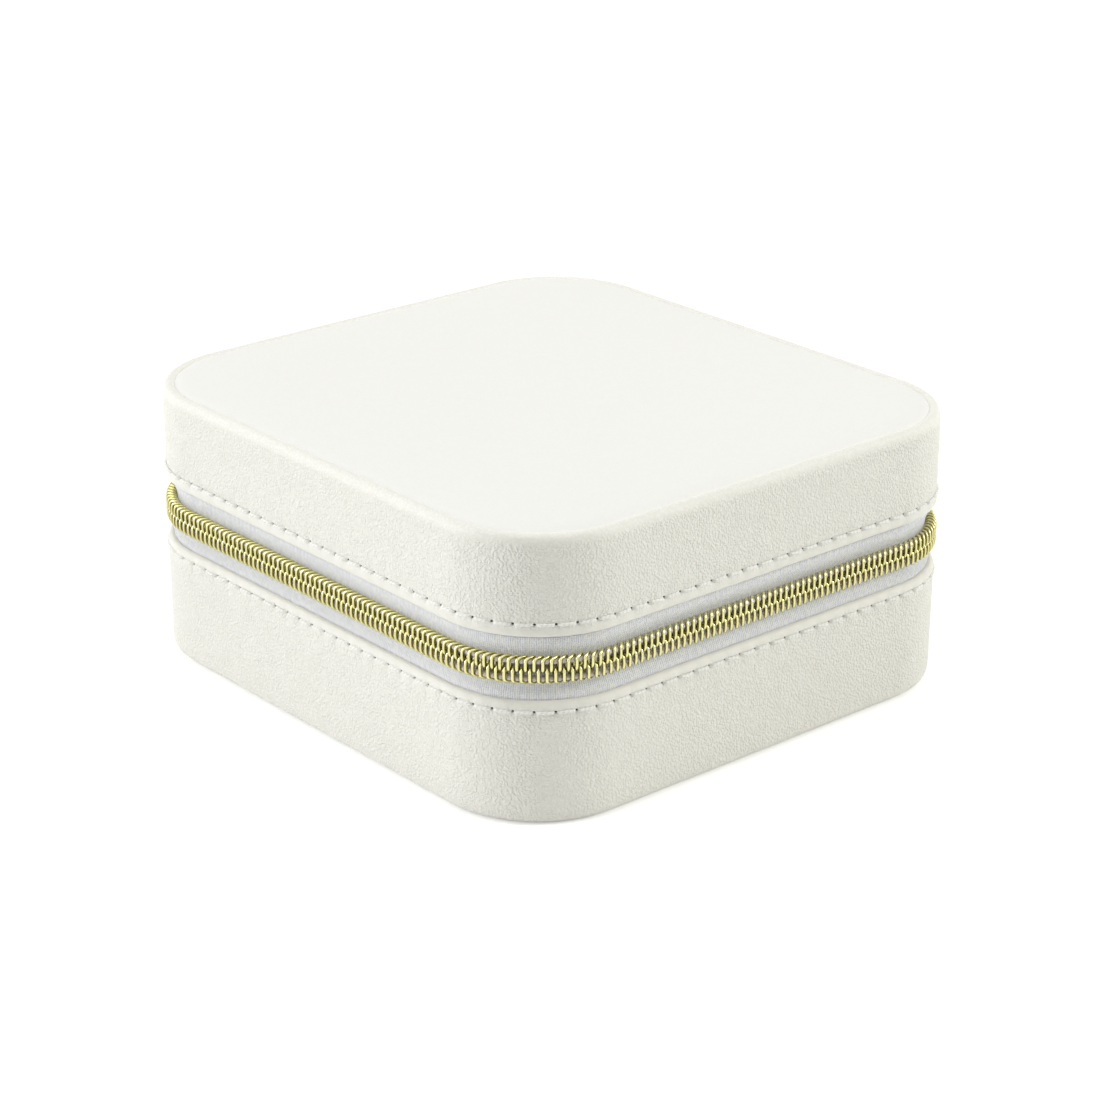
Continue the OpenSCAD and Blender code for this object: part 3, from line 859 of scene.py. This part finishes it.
def wound(way, shift, body, coil_node, cord_node):
    """One row of the zip: way is -1 for the lower row, whose heads point up, and 1 for the upper one."""
    row = "lower" if way < 0 else "upper"
    steps = np.arange(COIL_TURNS * TURN_POINTS) / TURN_POINTS
    angle = 2 * math.pi * (steps % 1)
    outwards = (COIL_DEPTH / 2 - COIL_WIRE / 2) * curl(np.cos(angle))
    upwards = (COIL_HEIGHT / 2 - COIL_WIRE / 2) * curl(np.sin(angle))
    height = ZIP_Z + way * (COIL_HEIGHT / 2 - HEAD_LAP / 2) - way * upwards
    step_on = np.clip((angle - 3.95) / 1.75, 0, 1)
    step_on = step_on * step_on * (3 - 2 * step_on)
    place = CHAIN_START + (np.floor(steps) + step_on + shift) * COIL_STEP
    base, out, forward = coil_path.stations(place)
    path = np.concatenate([base + out * (coil_path.radius + outwards)[:, None], height[:, None]], 1)
    along = np.gradient(path, axis=0)
    along /= np.linalg.norm(along, axis=1)[:, None]
    side = np.concatenate([forward, np.zeros((len(path), 1))], 1)
    side -= along * np.sum(side * along, 1)[:, None]
    side /= np.linalg.norm(side, axis=1)[:, None]
    wire = tube_grid(path, side * 1.04, np.cross(along, side), COIL_WIRE / 2, 8)
    tube(row + "_coil", wire, place, once_round(8), coil_gold, body, "zip_gold", coil_node)

    cord_places = spread(0, place[-1] - 0.5, 0.14)
    at_turn = np.cos(2 * math.pi * (cord_places - CHAIN_START - shift * COIL_STEP) / COIL_STEP)
    base, out, _ = coil_path.stations(cord_places)
    middle = np.full((len(cord_places), 1), ZIP_Z + way * (COIL_HEIGHT / 2 - HEAD_LAP / 2 + 0.5))
    path = np.concatenate([base + out * coil_path.radius, middle], 1)
    level, top = upright_axes(out)
    cord = tube_grid(path, level, 0.8 * top, 0.48 - 0.13 * at_turn, 10)
    tube(row + "_cord", cord, cord_places, once_round(10), coil_cord, body, "thread", cord_node)
    return place[-1]


wound(-1, 0.0, "base", "zip_coil_lower", "zip_cord_lower")
coil_end = wound(1, 0.5, "lid", "zip_coil_upper", "zip_cord_upper")
print("coil turns in each row:", COIL_TURNS, "over", round(coil_end), "mm")

# %% [markdown]
# ## The hinge strip
#
# At the back a strip of the same leather joins the two halves. It is the only piece that
# belongs to both, so it is put on neither body and keeps the shape it is drawn in.

# %% Leather strip and its lining
STRIP_T, LINING_T = 0.6, 0.7
BEND_Y = (DEPTH / 2 - TAPE_IN - STRIP_T / 2) * MM


def bending_strip(name, face, thick, low, high, swell, half, material, slot, node, way):
    """A strip across the back that bulges outwards halfway up; way is the direction of V."""
    heights = spread(low, high, 0.5)
    bulge = swell * np.clip(np.cos((heights - ZIP_Z) / (high - low) * math.pi), 0, 1) ** 2
    outer = np.stack([-face + bulge, heights], 1)
    inner = np.stack([-face - thick + bulge, heights], 1)[::-1]
    section = np.concatenate([outer, inner])
    places = spread(LOOP - RUN_X / 2 - half, LOOP - RUN_X / 2 + half, 1.0)
    across = way * np.append(section[:, 1], section[0, 1])
    made = tube(name, outside.carried(places, section), places, across, material, None, slot, node)
    start, end = (BASE_EDGE - 0.4) * MM, (LID_EDGE + 0.4) * MM
    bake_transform(made)


size = (TAPE_IN, STRIP_T, TAPE_LOW, TAPE_HIGH, 0.45, STRIP_END)
bending_strip("hinge_leather", *size, side_leather, "side_leather", "hinge_strip", -1)
size = (TAPE_IN + STRIP_T + 0.02, LINING_T, BASE_EDGE + 0.35, LID_EDGE - 0.55, 0.4, STRIP_END - 1)
bending_strip("hinge_lining", *size, velvet, "velvet", "hinge_strip_lining", 1)
print("hinge strip made")

# %% [markdown]
# ## The tray
#
# The wall of the tray is card wrapped in velvet. It stands above the edge of the base,
# and that rim guides the lid shut. The ring rolls are long velvet cushions that squeeze
# a ring between them, so they are soft rounded forms that press on each other, not
# blocks. The dividers are thin card, also wrapped.

# %% Wall of the tray
RIM_BACK, RIM_IN, WALL_BACK = 6.4, 4.6, 3.62
wall_low, wall_high = span("base_inner_wall")
shoulders = [(-RIM_BACK, -1.2), (-RIM_BACK + 0.12, -0.5), (-RIM_BACK + 0.45, -0.1)]
shoulders += [(-(RIM_BACK + RIM_IN) / 2, 0), (-RIM_IN - 0.45, -0.1), (-RIM_IN - 0.12, -0.5), (-RIM_IN, -1.2)]
ledge = [(-RIM_IN, 0.9), (-RIM_IN + 0.2, 0.45), (-WALL_BACK, 0.3)]
wall_profile = [(-RIM_BACK, wall_low[2])] + lifted(wall_high[2], shoulders) + lifted(BASE_EDGE, ledge)
wall_profile += [(-WALL_BACK, wall_low[2])]
wall_places = spread(0, LOOP, 1.2)[:-1]
tray_wall = outside.carried(wall_places, wall_profile[::-1])
piece("tray_wall", tray_wall, velvet, "base", "velvet", "base_inner_wall", wrap=(True, True))
print("the tray's rim is", round(RIM_BACK - RIM_IN, 2), "mm thick")


# %% Dividers
def wrapped_bar(name, node, axis):
    """A thin wrapped card with a round top, between the corners of its CAD node, along axis 0 or 1."""
    low, high = span(node)
    middle = (high + low) / 2
    half = (high[1 - axis] - low[1 - axis]) / 2
    turn = np.linspace(0, math.pi, 9)
    top = [(half * math.cos(a), high[2] - half + half * math.sin(a)) for a in turn]
    section = np.array([(half, low[2])] + top + [(-half, low[2])])
    if axis == 1:
        section = section[::-1]
    at = spread(low[axis], high[axis], 1.5)
    sag = 0.12 * np.sin(math.pi * (at - low[axis]) / (high[axis] - low[axis]))
    grid = np.zeros((len(at), len(section), 3))
    grid[..., axis] = at[:, None]
    grid[..., 1 - axis] = middle[1 - axis] + section[:, 0]
    grid[..., 2] = section[:, 1] - sag[:, None] * (section[:, 1] > low[2] + 1)
    piece(name, grid, velvet, "base", "velvet", node, wrap=(False, True), caps=True)


wrapped_bar("long_divider", "divider_long", 0)
wrapped_bar("left_divider", "divider_short_left", 1)
wrapped_bar("right_divider", "divider_short_right", 1)
print("dividers made")

# %% Ring rolls
ROLLS, ROLL_SIDES = 7, 40
END_SHARE = 0.95
rolls_low, rolls_high = span("ring_rolls")
roll_step = (rolls_high[1] - rolls_low[1]) / ROLLS
roll_wide, roll_tall = roll_step / 2 - 0.02, rolls_high[2] - rolls_low[2]
tray_corner = CORNER_R - RIM_BACK


def roll_rows(n):
    """One cushion: sections along X, each a soft upright form, shorter where the tray's corner is round."""
    middle = rolls_low[1] + (n + 0.5) * roll_step
    cut = max(0.0, -RUN_Y / 2 - (middle - roll_step / 2))
    half = RUN_X / 2 + math.sqrt(max(tray_corner**2 - cut**2, 0.0)) - 0.1
    turn = np.linspace(0, 2 * math.pi, ROLL_SIDES, endpoint=False)
    shape_y, shape_z = curl(np.cos(turn), 0.42), curl(np.sin(turn), 0.42)
    inner = np.linspace(-0.93, 0.93, 60)
    rows = []
    for share in np.concatenate([np.linspace(-1, -END_SHARE, 6), inner, np.linspace(END_SHARE, 1, 6)]):
        pinch = math.sqrt(max(1 - max(abs(share) - END_SHARE, 0) ** 2 / 0.05**2, 0.02))
        wave = 0.12 * math.sin(share * 9 + n * 1.7) + 0.08 * math.sin(share * 23 + n)
        y = middle + roll_wide * shape_y * (0.9 + 0.1 * pinch) * (1 - 0.05 * (shape_z > 0.4))
        crown = roll_tall / 2 * shape_z * (0.93 + 0.07 * pinch) + wave * (shape_z > 0)
        z = rolls_low[2] + roll_tall / 2 + crown - 0.25
        rows.append(np.stack([np.full_like(y, share * half), y, z], 1))
    return rows


rolls = np.array([roll_rows(n) for n in range(ROLLS)])
form = (np.linspace(0, 1, rolls.shape[1]), once_round(ROLL_SIDES))
ring_cushion = tube("ring_cushion", rolls, *form, velvet, "base", "velvet", "ring_rolls")
print(ROLLS, "ring rolls")

# %% [markdown]
# ## Inside the lid
#
# The lid is lined with the same velvet, over a thin pad that swells a little round the
# mirror. The mirror is a bevelled plate in a narrow gold frame.

# %% Lining and inner panel
LINING_IN = 4.1
lining_low, lining_high = span("lid_lining")
lip = [(-WALL_BACK, 0.1), (-WALL_BACK - 0.13, 0), (-LINING_IN + 0.15, 0.02), (-LINING_IN, 0.35)]
lining_profile = [(-WALL_BACK, lining_high[2])] + lifted(lining_low[2], lip) + [(-LINING_IN, lining_high[2])]
lining = outside.carried(wall_places, lining_profile)
piece("lid_velvet_wall", lining, velvet, "lid", "velvet", "lid_lining", wrap=(True, True))

CEILING = span("lid_inner_panel")[1][2] - 0.15
CEILING_PAD = 1.2


def ceiling_height(inside, x, y):
    return CEILING - CEILING_PAD * (1 - np.exp(-inside / 1.1))


panel_form = ("lid_velvet_panel", 4.12, ceiling_height, 18, 2.0)
inner_panel = rounded_panel(*panel_form, velvet, "velvet", "lid_inner_panel")
print("lid lining and panel made")

# %% Mirror and its frame
MIRROR_R = 4.0
mirror_low, mirror_high = span("mirror")
mirror_w, mirror_d = (mirror_high - mirror_low)[:2]
mirror_path = Path(mirror_w - 2 * MIRROR_R, mirror_d - 2 * MIRROR_R, MIRROR_R)
mirror_places = spread(0, mirror_path.length, 0.8)[:-1]


def plate_grid(path, places, rings):
    """A plate between rings given as [outwards, up], closed by flat faces at both ends."""
    return path.carried(places, rings).transpose(1, 0, 2)


bevel = lifted(mirror_low[2], [(-1.6, 0), (-1.45, 0.02), (-0.2, 0.42), (0, 0.5)])
glass = plate_grid(mirror_path, mirror_places, [(0, mirror_high[2])] + bevel[::-1])
form = {"wrap": (False, True), "caps": True}
mirror_plate = piece("mirror_plate", glass, mirror_glass, "lid", "mirror_glass", "mirror", **form)
mirror_plate.data.set_sharp_from_angle(angle=math.radians(6))

frame_low, frame_high = span("mirror_frame")
rim = [(0.06, 0.5), (0.2, 0.12), (0.55, 0), (1.05, 0), (1.42, 0.15), (1.6, 0.6)]
rim = [(0.06, frame_high[2])] + lifted(frame_low[2], rim) + [(1.6, frame_high[2])]
rim = mirror_path.carried(mirror_places, rim[::-1])
piece("mirror_rim", rim, plated_gold, "lid", "gold_metal", "mirror_frame", wrap=(True, True))
print(f"mirror {mirror_w:.1f} x {mirror_d:.1f} mm")

# %% [markdown]
# ## Slider and pull
#
# The slider is two plates joined by a neck. The neck parts the two rows as it runs, and
# the plates press them together again. A bow stands on the front plate, and the pull
# turns on it. The forms are drawn lying down, melted into one casting by a voxel remesh,
# and smoothed, so that their inner corners are softly filled as in a die casting.

# %% Slider
SLIDER_L, SLIDER_W, SLIDER_R = 9.6, 7.2, 1.6
FRONT_LOW, FRONT_HIGH = 0.3, 0.9
BACK_LOW, BACK_HIGH = -3.35, -2.5
LIP_OUT, LIP_LOW = 3.25, -1.1
NECK_X = -3.4
BOW_R, BOW_WIRE = 2.6, 1.1
VOXEL = 0.11
slider_y = sum(span("slider_body"))[1] / 2


def on_left_side(grid):
    """A piece drawn lying down, +X to the front, +Y up and +Z outwards, put on the left side of the case."""
    return np.stack([-WIDTH / 2 - grid[..., 2], slider_y - grid[..., 0], ZIP_Z + grid[..., 1]], -1)


def rounded_plate(long, wide, r, low, high, edge, dome=0.0, waist=0.0):
    """Rings of a plate with rounded edges, from its low face to its high face."""
    path = Path(long - 2 * r, wide - 2 * r, r)
    places = spread(0, path.length, 0.35)[:-1]
    arc = np.linspace(0, math.pi / 2, 5)
    rings = [(-edge * 3.2, low)]
    rings += [(-edge + edge * math.sin(a), low + edge - edge * math.cos(a)) for a in arc]
    rings += [(-edge + edge * math.cos(a), high - edge + edge * math.sin(a)) for a in arc]
    rings += [(-edge * 3.2, high)]
    grid = plate_grid(path, places, rings)
    grid[..., 1] *= 1 - waist * grid[..., 0] / long
    grid[..., 2] += dome * (1 - (2 * grid[..., 1] / wide) ** 2) * (grid[..., 2] > (low + high) / 2)
    return grid


def bow_grid(radius, wire, foot):
    """A half ring that stands on its two thicker feet."""
    turn = np.linspace(0, math.pi, 25)
    path = np.stack([radius * np.cos(turn), 0 * turn, foot + radius * np.sin(turn)], 1)
    side = np.tile([0.0, 1.0, 0.0], (25, 1)) * (1.25 + 0.35 * np.abs(np.cos(turn)))[:, None]
    top = np.stack([np.cos(turn), 0 * turn, np.sin(turn)], 1) * 0.85
    return tube_grid(path, side, top, wire / 2, 14)


def taken_from(thing):
    """The mesh that an object's modifiers or curve make; the object itself is removed."""
    bpy.context.view_layer.update()
    mesh = bpy.data.meshes.new_from_object(thing.evaluated_get(bpy.context.evaluated_depsgraph_get()))
    bpy.data.objects.remove(thing)
    return mesh


def cast(name, grids, body, node):
    """Closed forms that overlap, melted into one casting."""
    work = bmesh.new()
    for grid in grids:
        work.from_mesh(grid_mesh("form", on_left_side(grid), wrap=(False, True), caps=True, unit=1.0))
    wax = bpy.data.objects.new("wax", finished(work, "forms"))
    bpy.context.collection.objects.link(wax)
    melt = wax.modifiers.new("melt", "REMESH")
    melt.mode, melt.voxel_size = "VOXEL", VOXEL
    polish = wax.modifiers.new("polish", "SMOOTH")
    polish.factor, polish.iterations = 0.5, 6
    mesh = taken_from(wax)
    mesh.transform(Matrix.Scale(MM, 4))
    mesh.name = name
    return dress(name, mesh, plated_gold, body, node)


front = rounded_plate(SLIDER_L, SLIDER_W, SLIDER_R, FRONT_LOW, FRONT_HIGH, 0.22, dome=0.18, waist=0.12)
rear = rounded_plate(SLIDER_L, SLIDER_W, SLIDER_R, BACK_LOW, BACK_HIGH, 0.2)
lip = rounded_plate(SLIDER_L - 2 * SLIDER_R, 0.6, 0.29, LIP_LOW, FRONT_LOW + 0.3, 0.08)
lips = [lip + [0, side * LIP_OUT, 0] for side in (-1, 1)]
neck = rounded_plate(2.0, 0.86, 0.4, BACK_HIGH - 0.2, FRONT_LOW + 0.2, 0.05) + [NECK_X, 0, 0]
bow = bow_grid(BOW_R, BOW_WIRE, FRONT_HIGH - 0.1)
slider = cast("zip_slider", [front, rear, *lips, neck, bow], "slider", "slider_body")
print("slider at", slider_y, "with", len(slider.data.polygons), "faces")

# %% [markdown]
# ## The pull tab
#
# The pull is a flat bar with two openings, one for the bow and a small round eye at its
# end. A flat curve is the easy way to draw it: the outline and its holes are closed
# lines, and the curve fills the area between them and bevels its edges.

# %% Pull tab
PULL_L, PULL_W, PULL_T, PIN_OUT = 24.0, 5.6, 0.9, 1.9
PULL_EDGE = 0.2
EYE_R = 1.2


def rounded_outline(x0, x1, half, r0, r1, steps=12):
    """A lying rounded bar from x0 to x1, with corner radius r0 at its start and r1 at its end."""
    far = [(x1 - r1, half - r1, r1, 90), (x1 - r1, -half + r1, r1, 0)]
    near = [(x0 + r0, -half + r0, r0, -90), (x0 + r0, half - r0, r0, -180)]
    points = []
    for cx, cy, r, start in far + near:
        for a in np.radians(np.linspace(start, start - 90, steps)):
            points.append((cx + r * math.cos(a), cy + r * math.sin(a)))
    return points


eye_x = PULL_L - PULL_W / 2
curve = bpy.data.curves.new("pull_outline", "CURVE")
curve.dimensions, curve.fill_mode = "2D", "BOTH"
curve.bevel_depth, curve.bevel_resolution = PULL_EDGE * MM, 3
curve.extrude, curve.offset = (PULL_T / 2 - PULL_EDGE) * MM, -PULL_EDGE * MM
for line in (
    rounded_outline(-0.5, PULL_L, PULL_W / 2, 0.9, PULL_W / 2 - 0.02),
    rounded_outline(0.55, 4.0, PULL_W / 2 - 1.0, 0.5, 1.2),
    rounded_outline(eye_x - EYE_R, eye_x + EYE_R, EYE_R, EYE_R - 0.01, EYE_R - 0.01),
):
    spline = curve.splines.new("POLY")
    spline.points.add(len(line) - 1)
    spline.use_cyclic_u = True
    for point, (x, y) in zip(spline.points, line, strict=True):
        point.co = (x * MM, y * MM, 0, 1)
drawn = bpy.data.objects.new("pull_outline", curve)
bpy.context.collection.objects.link(drawn)
flat_pull = taken_from(drawn)
points = np.array([v.co for v in flat_pull.vertices]) / MM + [0, 0, PIN_OUT]
flat_pull.vertices.foreach_set("co", (on_left_side(points) * MM).reshape(-1).astype(np.float32))
work = bmesh.new()
work.from_mesh(flat_pull)
pull = dress("zip_pull", finished(work, "zip_pull"), plated_gold, "pull", "pull_tab")
pull.data.set_sharp_from_angle(angle=math.radians(40))
print("pull with", len(pull.data.polygons), "faces")

# %% [markdown]
# ## Pieces that keep their CAD shape
#
# The card, the foam, the floor velvet and the underside have the right shape already.
# They only get their finishes.

# %% Finishes for the CAD nodes that stay
KEPT = {
    "base_bottom_panel": bottom_leather,
    "base_wall_board": card,
    "base_floor_board": card,
    "base_floor_velvet": velvet,
    "lid_wall_board": card,
    "lid_top_board": card,
    "lid_foam_pad": foam,
}
for node, material in KEPT.items():
    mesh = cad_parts[node].data
    mesh.materials.clear()
    mesh.materials.append(material)
print(len(KEPT), "CAD nodes dressed")

# %% [markdown]
# ## Light
#
# Two large soft lamps stand to the left and the right, so that the left side is brighter
# than the right one and the rounded corner between them is a little darker. A third lamp
# lights the top.

# %% Lamps
def soft_lamp(name, spot, aim, wide, high, power, colour):
    data = bpy.data.lights.new(name, "AREA")
    data.shape, data.size, data.size_y = "RECTANGLE", wide, high
    data.energy, data.color = power, colour
    lamp = bpy.data.objects.new(name, data)
    bpy.context.collection.objects.link(lamp)
    lamp.location = spot
    lamp.rotation_euler = (Vector(aim) - Vector(spot)).to_track_quat("-Z", "Y").to_euler()


soft_lamp("left_lamp", (-0.85, -1.2, 0.65), (0, 0, 0.03), 1.7, 1.3, 18.4, (0.985, 0.99, 1.0))
soft_lamp("right_lamp", (0.9, 0.95, 0.7), (0, 0, 0.03), 0.5, 0.5, 9.2, (1.0, 1.0, 0.95))
soft_lamp("top_lamp", (0.0, 0.1, 1.5), (0, 0, 0), 1.4, 1.4, 10.5, (0.97, 0.98, 1.0))
print("three lamps")

# %% [markdown]
# ## World and floor
#
# The world looks white to the camera and in the gold, but lights the box only faintly,
# because that light comes from the lamps. The pale floor takes the shadow of the box. It
# glows a little where it is looked at, and more the farther it is from the box, until it
# is as white as the world and no horizon shows.

# %% World and floor
def plain_view(finish):
    """1 where a ray comes from the camera, a mirror or clear glass, and 0 for light on the object."""
    rays = ("Is Camera Ray", "Is Glossy Ray", "Is Transmission Ray")
    camera_ray, glossy_ray, glass_ray = (finish.node("ShaderNodeLightPath", output=ray) for ray in rays)
    return finish.maths("MAXIMUM", finish.maths("MAXIMUM", camera_ray, glossy_ray), glass_ray)


sky = Finish("white_room", bpy.data.worlds.new("white_room"))
bpy.context.scene.world = sky.material
lit = sky.tree.nodes["Background"]
lit.inputs["Strength"].default_value = 0.2
lit.inputs["Color"].default_value = (1, 1, 0.84, 1)
shown = sky.node("ShaderNodeBackground", {}, {"Color": (1, 1, 1, 1), "Strength": 1.0})
either = sky.node("ShaderNodeMixShader", {}, {0: plain_view(sky), 1: Signal(sky, lit.outputs[0]), 2: shown})
sky.put(sky.tree.nodes["World Output"].inputs["Surface"], either)

FLOOR = 6
floor_mesh = bpy.data.meshes.new("floor")
corners = [(-FLOOR, -FLOOR, 0), (FLOOR, -FLOOR, 0), (FLOOR, FLOOR, 0), (-FLOOR, FLOOR, 0)]
floor_mesh.from_pydata(corners, [], [(0, 1, 2, 3)])
floor = bpy.data.objects.new("floor", floor_mesh)
bpy.context.collection.objects.link(floor)
paper = Finish("floor_paper")
away = paper.vectors("LENGTH", {0: paper.place(1.0)}, 1)
shine = paper.mix(paper.clamp(away, 0.25, 0.9), (0.3, 0.3, 0.3, 1), (1, 1, 1, 1))
paper.paint(
    Base_Color=(0.97, 0.97, 0.97, 1),
    Roughness=0.9,
    Emission_Color=paper.mix(plain_view(paper), (0, 0, 0, 1), shine),
    Emission_Strength=1.0,
    Specular_IOR_Level=0.1,
)
floor_mesh.materials.append(paper.material)

bpy.context.scene.view_settings.view_transform = "Standard"
print("world and floor made")
